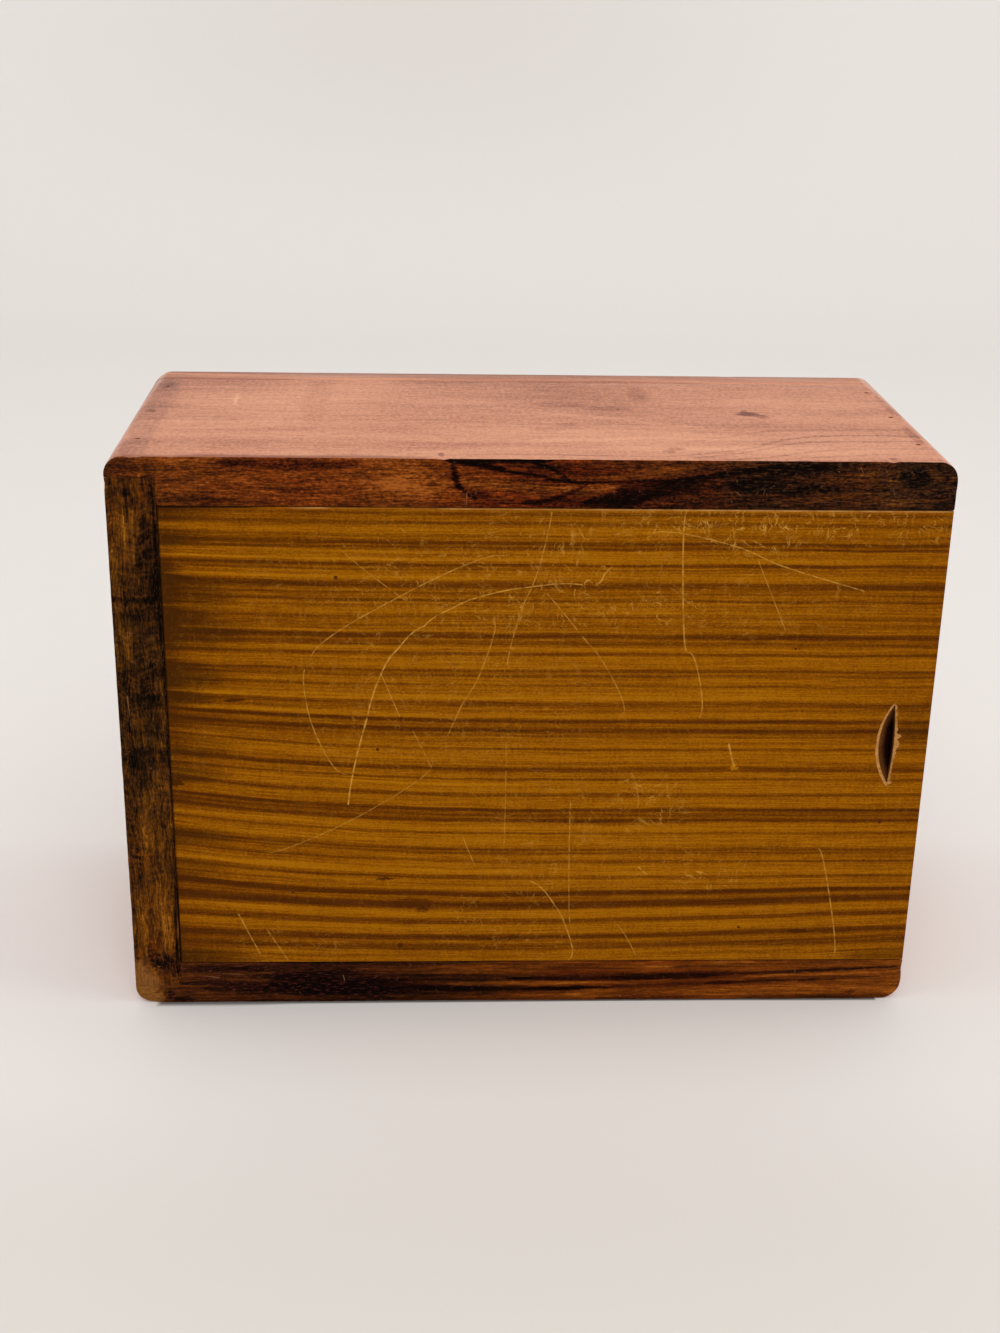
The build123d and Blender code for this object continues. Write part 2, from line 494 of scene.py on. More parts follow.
boardLooks = {
    "upper_long_board": {
        "grain": "x", "pith": (60, -70), "wander": 7, "figure": 0.4, "fibre": 0.34, "pores": 0.25,
        "black": 0, "speck": 0.42,
        "spots": [  # x, y, half sizes and how dark
            (59, 0.2, 2.6, 2.2, 0.5), (57, -0.4, 2, 1.2, 0.35), (62, -2.6, 1.6, 2.2, 0.3),
            (58, 2.8, 1, 1.8, 0.25), (32, 22, 2.6, 9, 0.16), (10, 9, 7, 2.6, 0.13), (22, 5, 6, 3, 0.11),
            (5, -18, 4, 2.4, 0.14), (10, -14, 3, 3, 0.1), (35, -36, 2.2, 1.6, 0.3),
            (33, -38.5, 1.6, 1.6, 0.25), (86.2, -43.8, 0.9, 0.8, 0.4), (-22, -42.6, 0.8, 1.8, 0.4),
            (-55, 12, 3.6, 28, 0.08), (-60, 40, 10, 6, 0.06), (-20, 36, 14, 3, 0.12),
            (-76, 12, 0.5, 6, -0.3), (-9, 39, 0.9, 3.4, -0.4), (-96, 28, 3, 2.6, 0.14),
            (-95.4, 29.4, 0.8, 1, 0.25), (-96.6, 24.4, 0.8, 0.8, 0.2), (-97, -1, 1.2, 1.8, 0.3),
            (98, 8, 1.4, 14, 0.14), (97, -22, 1.2, 10, 0.2), (-96, 0, 3.4, 60, 0.12), (62, 38, 40, 3, 0.14),
            (0, 41, 110, 2.4, 0.12),
        ],
        "waves": [  # growth lines: how dark, and (x, y, half width) points
            (0.15, (38, -30, 0.3), (47, -25, 0.6), (56, -20, 0.8), (64, -17.4, 0.8), (78, -16, 0.7),
             (99, -15, 0.3)),
            (0.24, (30, -44, 0.3), (42, -40, 0.6), (52, -35.6, 0.7), (60, -29, 0.7), (66, -25, 0.8),
             (75, -22.2, 0.7), (84, -21.4, 0.6), (99, -22.4, 0.4)),
            (0.22, (38, -44.4, 0.3), (48, -40.5, 0.6), (56, -36, 0.6), (63, -31, 0.7), (72, -28.2, 0.6),
             (84, -27.4, 0.6), (99, -27.6, 0.4)),
            (0.2, (46, -45.6, 0.3), (56, -43.4, 0.5), (64, -39.6, 0.6), (72, -36.4, 0.6), (84, -34.6, 0.5),
             (99, -34.2, 0.3)),
            (0.16, (60, -45, 0.3), (72, -42, 0.5), (84, -40, 0.5), (99, -39, 0.3)),
            (0.2, (-22, -44.4, 0.3), (0, -42, 0.5), (14, -42.6, 0.5), (30, -43.6, 0.3)),
            (-0.12, (2, 0, 0.4), (22, -5.6, 1.2), (34, -11, 1.2), (44, -14, 0.4)),
        ],
    },
    "lower_long_board": {**plainBoard, "pith": (-40, 60)},
    "closed_end_board": {**plainBoard, "grain": "z", "pith": (-55, 40), "black": 0.3},
    "open_end_board": {**plainBoard, "grain": "z", "pith": (70, -60), "black": 0.2},
    "face_board": {**plainBoard, "pith": (-20, 95), "wander": 12, "figure": 0.55, "fibre": 0.28},
}


def grainOf(paint, look):  # places along the grain, across it, and through it
    return (paint.x, paint.y, paint.z) if look["grain"] == "x" else (paint.z, paint.y, paint.x)


def ringOf(grain, look):  # how far a place is from the pith
    along, across, third = grain
    pithAcross, pithThird = look["pith"]
    return ((across - pithAcross) ** 2 + (third - pithThird) ** 2) ** 0.5


def outerWood(board):
    look = boardLooks[board]
    paint = Paint(board + "_lacquered")
    x, y, z = paint.x, paint.y, paint.z
    grain = grainOf(paint, look)
    along = grain[0]
    sway = paint.vary(*grain, (14, 5, 5), 1, 0, 1) * 1.2
    wander = paint.vary(*grain, (75, 22, 22), 2, 0, 1) * look["wander"]
    ring = ringOf(grain, look) + wander + sway
    bands = paint.vary(ring, along, 0.0, (rosewood["rings"], 150, 1), 3)
    broad = paint.vary(ring, along, 5.0, (11, 90, 1))
    fibre = paint.vary(*grain, rosewood["fibres"], 3)
    pores = paint.cloud(*grain, rosewood["pores"], 1, 0.6, 0.72)
    speck = paint.vary(*grain, (0.9, 1.6, 1.2), 2, 0.2, 0.8)
    tone = 0.56 + bands * look["figure"] + broad * 0.3 + fibre * look["fibre"]
    tone = tone - pores * look["pores"] + speck * look["speck"]
    if look["black"]:
        tone = tone - paint.cloud(ring, along, 9.0, (6, 130, 1), 3, 0.56, 0.72) * look["black"]
    if "spots" in look:
        tone = tone - paint.blots(x + sway, y + sway * 0.5, look["spots"], 0.8)
        tone = tone - paint.strokes(x, y + sway, look["waves"], 0.9)
    colour = paint.shades(tone, warmBrown)
    if board in ("upper_long_board", "face_board"):  # the top is painted pinker and lighter than the other faces, as painted sheen of the light on its lacquer; the sheen is lighter towards the front and darker at the far edge
        sheenTone = tone + paint.spread(y, -44, 36, 0.04, -0.18)
        sheenTone = sheenTone - paint.ease(x, -80, -100) * paint.ease(y, 38, 24) * 0.1
        sheenTone = sheenTone + paint.hump(x, -36, 34, 0.12) * paint.hump(y, -31, 14)
        sheenTone = sheenTone - paint.hump(x, 20, 34, 0.1) * paint.ease(y, -30, -40)
        sheenTone = sheenTone - paint.ease(x, 20, 60) * paint.ease(y, 10, -30) * 0.06
        sheenTone = sheenTone + paint.ease(y, -14, 26) * paint.profile(x, topWearAndSheen["far"])
        sheenTone = sheenTone + paint.hump(x, -52, 26, 0.05) * paint.ease(y, 10, -20)
        sheenTone = sheenTone - paint.hump(y, jointY + 0.3, 0.45, 0.01) - paint.ease(y, 42.0, 46.5) * 0.3
        sheenPink = paint.shades(sheenTone, topSheenPink)
        sheenPink = paint.mix(paint.ease(x, -91.5, -93.5) * 0.12, sheenPink, seen(150, 110, 98))
        dull = paint.ease(y + sway, 37, 43) * paint.profile(x, topWearAndSheen["dull"])
        sheenPink = paint.mix(dull, sheenPink, seen(150, 112, 97))
        worn = paint.ease(y + sway * 2.4, -43.6, -45.6) * paint.profile(x, topWearAndSheen["worn"])
        sheenPink = paint.mix(worn, sheenPink, seen(128, 58, 30))
        colour = paint.mix(paint.ease(z, 145.0, 148.4), colour, sheenPink)
        # Painted sheen on the corners of the top, where they round over, reaching further out at the left
        # and towards the front
        out = abs(x) + paint.spread(x, -10, 10, 0.0, 0.9) + paint.ease(y, 0, 46) * 1.6
        cornerSheen = paint.hump(out, 100.9, 1.6) * paint.ease(z, 143.5, 147.0)
        colour = paint.mix(cornerSheen * 0.3, colour, seen(236, 206, 190))
    rough = paint.spread(tone, 0.0, 1.0, 0.55, 0.42)
    height = fibre * 0.4 - pores
    return paint.dress(colour, rough, height, rosewood["poreDepth"], 0.5)


# The three rims round the panel, in tones that run from 0, which is black, to 1. They are darker than the
# boards' other faces, partly from the wood's oil and dirt and partly as painted shade on the upright front

rimShades = [(0.0, seen(10, 4, 2)), (1.0, seen(158, 88, 34)), (0.2, seen(34, 14, 7)),
             (0.4, seen(66, 30, 11)), (0.6, seen(96, 46, 13)), (0.8, seen(126, 63, 18))]
rims = {}
rims["upper"] = {
    "vertical": False,
    "fleck": (3.2, 0.3, 4),  # sizes of the fine marks and of the long ones
    "streak": (14, 0.75, 8),
    "contrast": (0.5, 0.54, 0.36, 0.24),  # of flecks, specks, streaks and broad bands
    "cast": (1, 0.96, 0.8),
    "tone": [  # by place along the rim
        (-102, 0.4), (-92, 0.54), (-80, 0.66), (-60, 0.63), (-44, 0.7), (-32, 0.74), (-24, 0.64),
        (-16, 0.56), (-4, 0.54), (8, 0.5), (20, 0.48), (34, 0.42), (48, 0.34), (60, 0.28), (74, 0.38),
        (84, 0.38), (94, 0.31), (102, 0.28),
    ],
    "streaks": [  # how dark, and its (along, across, half width) points
        (0.55, (-21, 148.6, 0.2), (-17, 147.9, 0.5), (-12, 147.4, 0.6), (-5, 145.7, 0.4), (0, 145, 0.5),
         (6, 143.9, 0.4), (14, 143.3, 0.3)),
        (0.5, (-20, 149, 0.4), (-8, 149, 0.8), (4, 149, 0.5)),
        (0.45, (-2, 148.8, 0.3), (3, 147, 0.45), (8, 144, 0.3)),
        (0.35, (-3, 138.2, 0.3), (3, 139, 0.6), (9, 141, 0.5), (13, 143.4, 0.2)),
        (0.34, (12, 143.5, 0.3), (22, 143.7, 0.4), (30, 143.8, 0.5), (40, 145, 0.3)),
        (0.36, (12, 138.4, 0.4), (17, 139.4, 1.2), (22, 140.2, 2.1), (28, 141.6, 1.6), (36, 143.6, 1.1),
         (46, 145.6, 0.8), (60, 147.6, 0.5)),
        (0.22, (26, 139.6, 0.5), (34, 141.2, 0.9), (44, 142.6, 1.1), (52, 143.6, 0.7)),
        (0.2, (0, 138, 0.4), (10, 138.4, 1.3), (20, 139, 1.5), (27, 139.4, 0.4)),
        (-0.12, (86, 138.4, 0.4), (92, 139, 1.4), (99, 138.8, 0.5)),
        (0.12, (40, 139.5, 0.5), (52, 140.2, 1.1), (64, 141.5, 0.9), (74, 141.8, 0.5)),
        (0.2, (56, 145, 0.8), (62, 146.6, 1.4), (70, 147.6, 0.9), (80, 148.2, 0.4)),
        (0.16, (-16, 147.8, 0.8), (0, 147.2, 1.5), (12, 146.4, 1.5), (22, 146.2, 0.5)),
        (0.14, (58, 146, 0.8), (68, 145.6, 2), (77, 146.2, 1)),
        (0.14, (-102, 139.2, 1.4), (-90, 139, 1.7), (-74, 138.4, 0.8)),
        (0.2, (60, 141, 0.3), (75, 142.5, 0.8), (88, 142, 0.4)),
        (0.28, (-75, 147.8, 0.4), (-66, 147.3, 1.2), (-56, 147.2, 1.3), (-42, 147.9, 0.6)),
        (0.14, (-66, 141.4, 0.2), (-50, 140.4, 0.6), (-38, 139.8, 0.3)),
        (-0.2, (-37, 143, 0.6), (-29, 142.8, 2.6), (-21.5, 142.8, 1.2)),
        (-0.12, (16, 145.4, 0.4), (24, 145.8, 1.2), (38, 147.2, 0.4)),
        (-0.14, (-2, 140.4, 0.4), (12, 141.4, 1.3), (19, 141.7, 0.4)),
        (-0.14, (-18, 143, 0.3), (-8, 142.6, 1), (4, 141.8, 0.4)),
        (-0.08, (66, 138.4, 0.3), (77, 138.8, 1), (92, 138.6, 0.4)),
        (-0.12, (60, 144.6, 0.3), (74, 145.2, 0.9), (86, 146.6, 0.4)),
    ],
    "steep": [  # streaks across the grain, as (across, along, half width) points
        (0.5, (139.4, -14, 0.4), (141, -17, 0.5), (143, -18.5, 0.7), (147.5, -19.6, 0.5)),
    ],
    "blots": [  # place, half sizes and how dark
        (-24.5, 142.6, 1.4, 0.7, 0.3), (-13.5, 140, 2.6, 1, 0.3), (91.4, 144.8, 3.6, 2.4, 0.36),
        (98.9, 145, 0.6, 0.7, 0.3), (53, 143, 6.4, 2, 0.26), (-93.5, 142.7, 0.7, 0.5, 0.4),
        (-94.7, 143.6, 0.45, 0.3, -0.5), (-93.8, 144.3, 0.3, 0.4, -0.5), (-91.5, 144, 2, 0.4, 0.3),
    ],
    "scratches": [  # from x, z to x, z
        (48.4, 144.2, 48.9, 141), (52.6, 139.6, 53.7, 141.4), (54.6, 139.4, 55.3, 141.7),
        (56.7, 139.2, 55.7, 141), (84, 147.4, 85.6, 144.4), (86.4, 142.2, 87, 140),
        (-16.2, 137.8, -16.2, 140.6), (46, 143, 49.5, 140.4), (78, 147.6, 79, 145.6),
    ],
    "red": [
        (-80, 0), (-70, 0.8), (-44, 0.7), (-34, 0.1), (-20, 1.1), (0, 1.4), (14, 1.3), (30, 1.3), (42, 1.1),
        (50, 0.2), (102, 0),
    ],
    "grey": [
        (-102, 0.3), (-90, 0), (26, 0.1), (36, 0.4), (46, 0.6), (56, 1), (70, 0.8), (84, 1.2), (92, 2.4),
        (102, 2.2),
    ],
    "pale": [(-102, 0.3), (-60, 0.2), (0, 0.1), (40, 0.5), (60, 0.9), (102, 0.9)],
    "fibre": (118, 84, 56),
    "swirls": [(-27.8, 144.9, 5.5, 2.6), (91, 144.6, 5, 3)],  # rings round a knot: place and half sizes
}
rims["left"] = {
    "figure": [(0, 0.4), (14, 0.3), (26, 0.22), (60, 0.24), (80, 0.3), (100, 0.34), (149, 0.38)],
    "waves": [(0, 0.1), (14, 0.26), (26, 0.54), (60, 0.52), (80, 0.4), (149, 0.36)],
    "vertical": True, "fleck": (6, 0.34, 4), "streak": (16, 0.9, 8), "contrast": (0.26, 0.34, 0.2, 0.36),
    "cast": (0.96, 1.28, 0.66),
    "tone": [
        (0, 0.6), (9, 0.52), (14, 0.47), (22, 0.54), (30, 0.53), (40, 0.49), (54, 0.52), (62, 0.45),
        (69, 0.32), (78, 0.31), (88, 0.29), (98, 0.34), (108, 0.3), (116, 0.35), (124, 0.42), (132, 0.47),
        (140, 0.4), (149, 0.4),
    ],
    "streaks": [
        (-0.16, (95, -100.6, 0.6), (101, -99.8, 1.9), (111, -100.2, 1.4), (126, -100.6, 0.6)),
        (0.14, (36, -100, 0.4), (41, -99.6, 1.4), (46, -100, 0.4)),
        (0.1, (78, -100.4, 0.4), (85, -100, 1.5), (91, -100.4, 0.5)),
        (-0.14, (46, -96.4, 0.5), (56, -96, 1.8), (63, -96.4, 0.6)),
        (0.1, (16, -96.4, 0.6), (22, -96.2, 1.6), (28, -96.4, 0.6)),
        (-0.14, (122, -96.6, 0.6), (128, -96.2, 1.7), (135, -96.4, 0.8)),
        (0.14, (124, -92.4, 0.6), (132, -92.4, 1.8), (143, -92.4, 1.4)),
        (0.4, (9, -90.6, 0.15), (14, -90.7, 0.35), (30, -90.4, 0.3), (40, -90.2, 0.1), (96, -90.2, 0.1),
         (104, -90.4, 0.25), (134, -90.6, 0.35), (142, -90.8, 0.2)),
        (-0.22, (128, -98.2, 0.3), (134, -98, 0.8), (140, -98.4, 0.3)),
        (0.12, (96, -92, 1), (112, -92.4, 2.2), (124, -92.6, 2.6), (134, -92, 1.2)),
        (0.16, (44, -100.8, 0.6), (54, -100.4, 1.8), (64, -100.6, 0.8)),
        (0.08, (54, -99, 0.4), (70, -98, 1.4), (84, -97.2, 0.6)),
        (0.12, (52, -92.4, 0.6), (58, -92.4, 1.8), (64, -93, 0.8)),
        (-0.13, (14, -94.4, 0.6), (22, -92.6, 2), (34, -92.2, 1.2)),
        (0.14, (6, -93, 0.5), (12, -96, 1.2), (17, -97.6, 0.6)),
    ],
    "steep": [
        (0.26, (-102, 113.4, 0.6), (-96, 113, 0.7), (-90, 113.6, 0.6)),
        (0.16, (-102, 108.6, 0.3), (-96, 109.4, 1.2), (-90, 109, 0.8)),
        (0.24, (-101, 43.6, 0.4), (-98, 43.4, 0.3), (-95, 43.6, 0.1)),
        (0.16, (-99, 94.6, 0.6), (-94, 94.2, 1.8), (-90, 94.6, 1.4)),
        (0.12, (-102, 70.6, 1.2), (-96, 71.6, 2.6), (-90, 70.6, 1.8)),
    ],
    "blots": [
        (86.5, -94, 1.6, 3, 0.2), (12.8, -95.2, 2.2, 2.6, 0.26), (10.6, -92, 2.6, 2, 0.22),
        (20, -99.6, 11, 1.6, -0.14), (82, -99.8, 8, 1.4, -0.1), (10, -100.3, 1.5, 0.5, -0.3),
        (118, -91, 5, 1.2, 0.2),
    ],
    "scratches": [
        (-97.2, 12.6, -96.6, 13.8), (-94.8, 14.2, -94.3, 13.2), (-93.4, 12.2, -92.6, 11.8),
        (-96, 11.2, -95.2, 11), (-99.5, 88, -99, 80),
    ],
    "red": [
        (0, 0.2), (8, 0.8), (16, 1), (22, 0.3), (40, 0.4), (60, 0.2), (88, 0.2), (92, 0.5), (98, 0.2),
        (108, 0.4), (114, 0.6), (132, 0.4), (142, 0.9), (149, 0.9),
    ],
    "grey": [
        (0, 0.2), (20, 0), (44, 0.2), (60, 0.45), (76, 0.6), (92, 0.5), (108, 0.5), (124, 0.35), (138, 0.1),
        (149, 0.1),
    ],
    "pale": [(0, 0.4), (12, 0.9), (20, 0.4), (60, 0.5), (80, 0.6), (149, 0.5)],
    "fibre": (130, 84, 50), "swirls": [(12.5, -95.5, 3.5, 3.5)],
}
rims["lower"] = {
    "vertical": False, "fleck": (4, 0.32, 4), "streak": (24, 0.75, 8), "contrast": (0.28, 0.22, 0.36, 0.2),
    "cast": (1, 1.03, 0.6),
    "tone": [
        (-102, 0.6), (-95, 0.5), (-90, 0.4), (-82, 0.38), (-74, 0.32), (-66, 0.25), (-54, 0.19), (-44, 0.2),
        (-32, 0.29), (-18, 0.4), (0, 0.52), (20, 0.6), (44, 0.63), (66, 0.65), (84, 0.65), (102, 0.67),
    ],
    "streaks": [
        (0.22, (-66, 6.2, 0.8), (-56, 5.6, 2.6), (-40, 5, 2.2), (-24, 4.4, 0.9), (-10, 4, 0.3)),
        (0.42, (-30, 3.9, 0.6), (0, 3.8, 0.7), (12, 3.8, 0.6), (19, 3.9, 0.3), (26, 4.3, 0.08)),
        (0.2, (-34, 6.6, 0.4), (-14, 6.8, 0.8), (2, 6.9, 0.3)),
        (0.1, (-60, 2.4, 0.6), (-40, 2.6, 1.6), (-14, 2.4, 1.2), (0, 2.4, 0.4)),
        (0.42, (-4, 6.9, 0.2), (14, 7, 0.8), (28, 7, 1.1), (45, 7.5, 1.1), (60, 8, 0.7), (80, 9, 0.4),
         (100, 10, 0.25)),
        (0.26, (0, 3.7, 0.2), (20, 4.1, 0.5), (40, 4.7, 0.6), (60, 5.5, 0.4), (84, 6.2, 0.2)),
        (0.2, (20, 0.6, 0.3), (60, 0.9, 0.5), (98, 1, 0.6)),
        (0.16, (60, 6.3, 0.3), (76, 6.6, 0.5), (96, 7, 0.3)),
        (0.14, (-30, 7.8, 0.2), (-10, 8, 0.5), (14, 8.4, 0.3)),
        (-0.18, (50, 7.2, 0.15), (80, 7.9, 0.4), (101, 8.4, 0.3)),
        (-0.2, (-20, 5.4, 0.15), (0, 5.5, 0.45), (20, 5.6, 0.3), (40, 6.4, 0.2)),
        (-0.12, (30, 2.4, 0.6), (52, 2.6, 1.4), (100, 3.2, 1.3)),
        (-0.12, (-44, 9.6, 0.4), (-20, 9.7, 0.9), (14, 9.9, 0.7), (40, 10.2, 0.3)),
        (-0.14, (-90, 7.8, 0.3), (-83, 8.6, 0.5), (-66, 8.9, 0.2)),
        (-0.12, (-78, 6.9, 0.2), (-66, 6.4, 0.4), (-56, 6.1, 0.2)),
        (-0.12, (-66, 2, 0.2), (-50, 1.6, 0.5), (-30, 1.4, 0.2)),
        (0.16, (-84, 4.4, 0.4), (-70, 4, 1), (-62, 3.6, 0.5)),
        (0.16, (-90, 6, 0.3), (-80, 6, 0.7), (-70, 5.6, 0.9), (-63, 5.4, 0.4)),
        (0.16, (-90, 10.2, 0.5), (-80, 10, 1.3), (-69, 10.2, 0.6)),
        (0.14, (8, 9.8, 0.4), (20, 9.6, 1.3), (32, 9.8, 0.5)),
        (0.12, (50, 5.2, 0.4), (60, 5.6, 1.3), (70, 6, 0.5)),
        (-0.1, (12, 2.2, 0.4), (20, 2.4, 1.3), (28, 2.4, 0.4)),
    ],
    "steep": [],
    "blots": [
        (88.6, 2.2, 1, 0.6, 0.26), (75, 5.8, 1, 0.4, 0.2), (-92.9, 2.3, 0.9, 1.4, 0.34),
        (-90, 1.2, 3, 0.8, 0.3),
    ],
    "scratches": [(-88, 8.6, -80, 7.6), (-79, 8.8, -72, 8.4), (-47.4, 8.2, -47, 6.6), (52, 11.6, 53.4, 12)],
    "red": [
        (-102, 0), (-84, 0.1), (-68, 0.9), (-40, 0.9), (-10, 0.5), (20, 0.9), (44, 0.9), (62, 0.4),
        (102, 0.1),
    ],
    "grey": [(-102, 0.1), (-90, 0.3), (-76, 0.3), (-60, 0.1), (0, 0), (88, 0), (102, 0.3)],
    "pale": [(-102, 1), (-90, 2.2), (-66, 1.8), (-40, 1.4), (-24, 0.6), (0, 0.1), (102, 0.3)],
    "fibre": (112, 48, 46), "swirls": [],
}
sapwood = {  # the pale corner at the lower left
    "corner": (-103.0, 0.5),
    "reach": (8.0, 12.5),
    "cut": -94.2,  # where it ends on the lower rim
    "rag": 0.9,
    "shades": [(0.0, seen(72, 38, 14)), (1.0, seen(156, 102, 46))],
}


def rimWood(side):
    look = rims[side]
    paint = Paint(side + "_rim")
    x, y, z = paint.x, paint.y, paint.z
    along, across = (z, x) if look["vertical"] else (x, z)
    rag = paint.vary(along, across, y, (3.0, 0.5, 3), 2, 0, 1)
    wander = paint.vary(along, across, y, (26, 5, 20), 1, 0, 1)
    bend = across + wander * 2.0
    fleck = paint.vary(along, bend, y, look["fleck"])
    speck = paint.vary(along, across, y, (0.8, 0.45, 1), 1, 0.2, 0.8)
    streak = paint.vary(along, bend, y, look["streak"], 3)
    broad = paint.vary(along, bend, y, (16, 3.0, 20))
    fine, rough, long, wide = look["contrast"]
    tone = paint.profile(along, look["tone"])
    tone = tone + fleck * fine + speck * rough + streak * long + broad * wide
    # painted shade: the upper rim darkens towards its lower edge, beside the panel
    if side == "upper":
        tone = tone - paint.ease(across, 140.6, 137.6) * 0.1
    if side == "left":  # figure that crosses the grain, and waving fibres
        figure = paint.vary(along + rag + wander * 6.0, across, 6.0, (0.9, 5.0, 1))
        blotch = paint.vary(along, across, 8.0, (3.2, 2.4, 1))
        sway = (along * 0.5 + wander * 7.0).sum("SINE") * 0.45 + wander * 2.6 + rag * 0.4
        waves = paint.vary(along, across + sway, 9.0, (6.0, 0.42, 1))
        tone = tone + figure * paint.profile(along, look["figure"])
        tone = tone + waves * paint.profile(along, look["waves"]) + blotch * 0.28
    for atAlong, atAcross, halfAlong, halfAcross in look["swirls"]:
        off = (((along - atAlong) / halfAlong) ** 2 + ((across - atAcross) / halfAcross) ** 2) ** 0.5
        rings = (off * 16.0 + rag * 16.0).sum("SINE") + rag * 1.6 + 0.3
        tone = tone - rings * paint.ease(off, 1.3, 0.3) * 0.14
    spotAlong, spotAcross = along + rag * 3.0, across + rag * 1.1
    shade = paint.strokes(spotAlong, spotAcross, look["streaks"], 0.75)
    shade = shade + paint.strokes(spotAcross, spotAlong, look["steep"], 0.75)
    shade = shade + paint.blots(spotAlong, spotAcross, look["blots"], 0.85)
    tone = tone - shade * (1.0 + streak * 0.5 + fleck * 0.4)
    colour = paint.tinted(paint.shades(tone, rimShades), look["cast"])
    # Redder and greyer patches, pale fibres, and sapwood at the corner
    patch = (5, 2.4, 1) if look["vertical"] else (22, 1.4, 1)
    redPatch = paint.cloud(along, bend, 7.0, patch, 2, 0.3, 0.7)
    red = paint.profile(along, look["red"]) * (redPatch * 0.6 + shade * 2.0)
    if side == "upper":
        red = red + paint.hump(along, -4, 28, 0.6) * paint.ease(across, 141.4, 138.6)
    colour = paint.tinted(colour, (1.05, 0.66, 0.72), red)
    grey = paint.profile(along, look["grey"]) * paint.cloud(along, bend, 11.0, (16, 1.6, 1), 2, 0.3, 0.7)
    colour = paint.tinted(colour, (0.76, 1.07, 1.5), grey)
    fibres = paint.cloud(along, bend, 13.0, (1.8, 0.42, 1), 1, 0.54, 0.78)
    pale = paint.profile(along, look["pale"]) * fibres * 0.26
    colour = paint.mix(pale, colour, seen(*look["fibre"]))
    if side != "upper":
        sap = paint.shades(0.5 + fleck * 0.5 + speck * 0.5, sapwood["shades"])
        colour = paint.mix(sapwoodShare(paint), colour, sap)
    # Small nicks and scratches
    marks = paint.cloud(x + z + rag * 4.0, x - z, 2.0, (0.3, 3.0, 1), 0, 0.76, 0.82)
    for fromX, fromZ, toX, toZ in look["scratches"]:
        marks = marks.atLeast(paint.scratch([(fromX, fromZ), (toX, toZ)], 0.13))
    marks = marks * paint.cloud(along, across, 3.0, (7, 3, 1), 1, 0.4, 0.62)
    colour = paint.mix(marks * 0.5, colour, seen(150, 104, 66))
    relief = paint.cloud(along, across, y, (14, 0.32, 4))
    return paint.dress(colour, paint.spread(tone, 0, 1, 0.42, 0.55), relief, 0.04, 0.02)


def sapwoodShare(paint):
    x, z = paint.x, paint.z
    rag = paint.vary(x, z, 0.0, (2.2, 2.2, 1), 3, 0, 1) * sapwood["rag"]
    reachX, reachZ = sapwood["reach"]
    cornerX, cornerZ = sapwood["corner"]
    off = (((x - cornerX) / reachX) ** 2 + ((z - cornerZ) / reachZ) ** 2) ** 0.5
    cut = paint.ease(x + rag * 0.3, sapwood["cut"] + 0.15, sapwood["cut"] - 0.15)
    return paint.ease(off + rag, 1.15, 0.8) * cut.atLeast(paint.ease(z, 4.6, 6.4) * 0.7)


# Bare wood: the boards' inside faces and their joints, and the panel's core

bareShades = [(0.0, seen(80, 42, 24)), (1.0, seen(194, 136, 94)), (0.5, seen(148, 90, 56))]


def insideWood(board):
    look = boardLooks[board]
    paint = Paint(board + "_bare")
    x, y, z = paint.x, paint.y, paint.z
    grain = grainOf(paint, look)
    ring = ringOf(grain, look) + paint.vary(*grain, (60, 20, 20), 2, 0, 1) * look["wander"]
    bands = paint.vary(ring, grain[0], 0.0, (rosewood["rings"], 150, 1), 3)
    fibre = paint.vary(*grain, (9, 0.4, 0.4), 3)
    sawn = paint.vary(*grain, (0.9, 30, 30), 1, 0.3, 0.7)  # the saw's marks cross the grain
    stain = paint.cloud(x, y, z, (16, 16, 16), 2, 0.5, 0.75)
    tone = 0.5 + bands * 0.4 + fibre * 0.5 + sawn * 0.12 - stain * 0.15
    colour = paint.shades(tone, bareShades)
    return paint.dress(colour, 0.78, fibre * 0.6 + sawn * 0.6, 0.12, 0.25)


coreLook = {
    "bands": (60.0, 6.0, 1.5),
    "bare": [(0.0, seen(150, 104, 60)), (1.0, seen(222, 182, 132)), (0.5, seen(192, 146, 96))],
    "stained": [(0.0, seen(56, 26, 5)), (1.0, seen(118, 68, 20))],
    "dark": [(0.0, seen(10, 2, 2)), (1.0, seen(38, 8, 4))],
}


def coreWood():
    paint = Paint("panel_core_bare")
    x, y, z = paint.x, paint.y, paint.z
    bands = paint.vary(x, y, z, coreLook["bands"], 3)
    fibre = paint.vary(x, y, z, (7, 0.3, 0.3))
    tone = 0.5 + bands * 0.5 + fibre * 0.4
    near = paint.blot(x, z, (notch["tipsX"] - 1, middle.z), (5.5, 13.5), 0.15)
    near = near * paint.ease(y, rimY + notch["depth"] + 0.9, rimY + notch["depth"] + 0.5)
    deepStainAndShade = paint.ease(y, rimY + 0.9, rimY + 2.6) * paint.ease(z, 85.0, 79.0, 0.1, 1.0)
    bare, stained, dark = (paint.shades(tone, coreLook[name]) for name in ("bare", "stained", "dark"))
    colour = paint.mix(near, bare, paint.mix(deepStainAndShade, stained, dark))  # the notch darkens further in: partly stain, partly painted shade in the recess
    return paint.dress(colour, 0.7, bands * 0.3 + fibre * 0.7, 0.1, 0.08)


# The panel's striped veneer

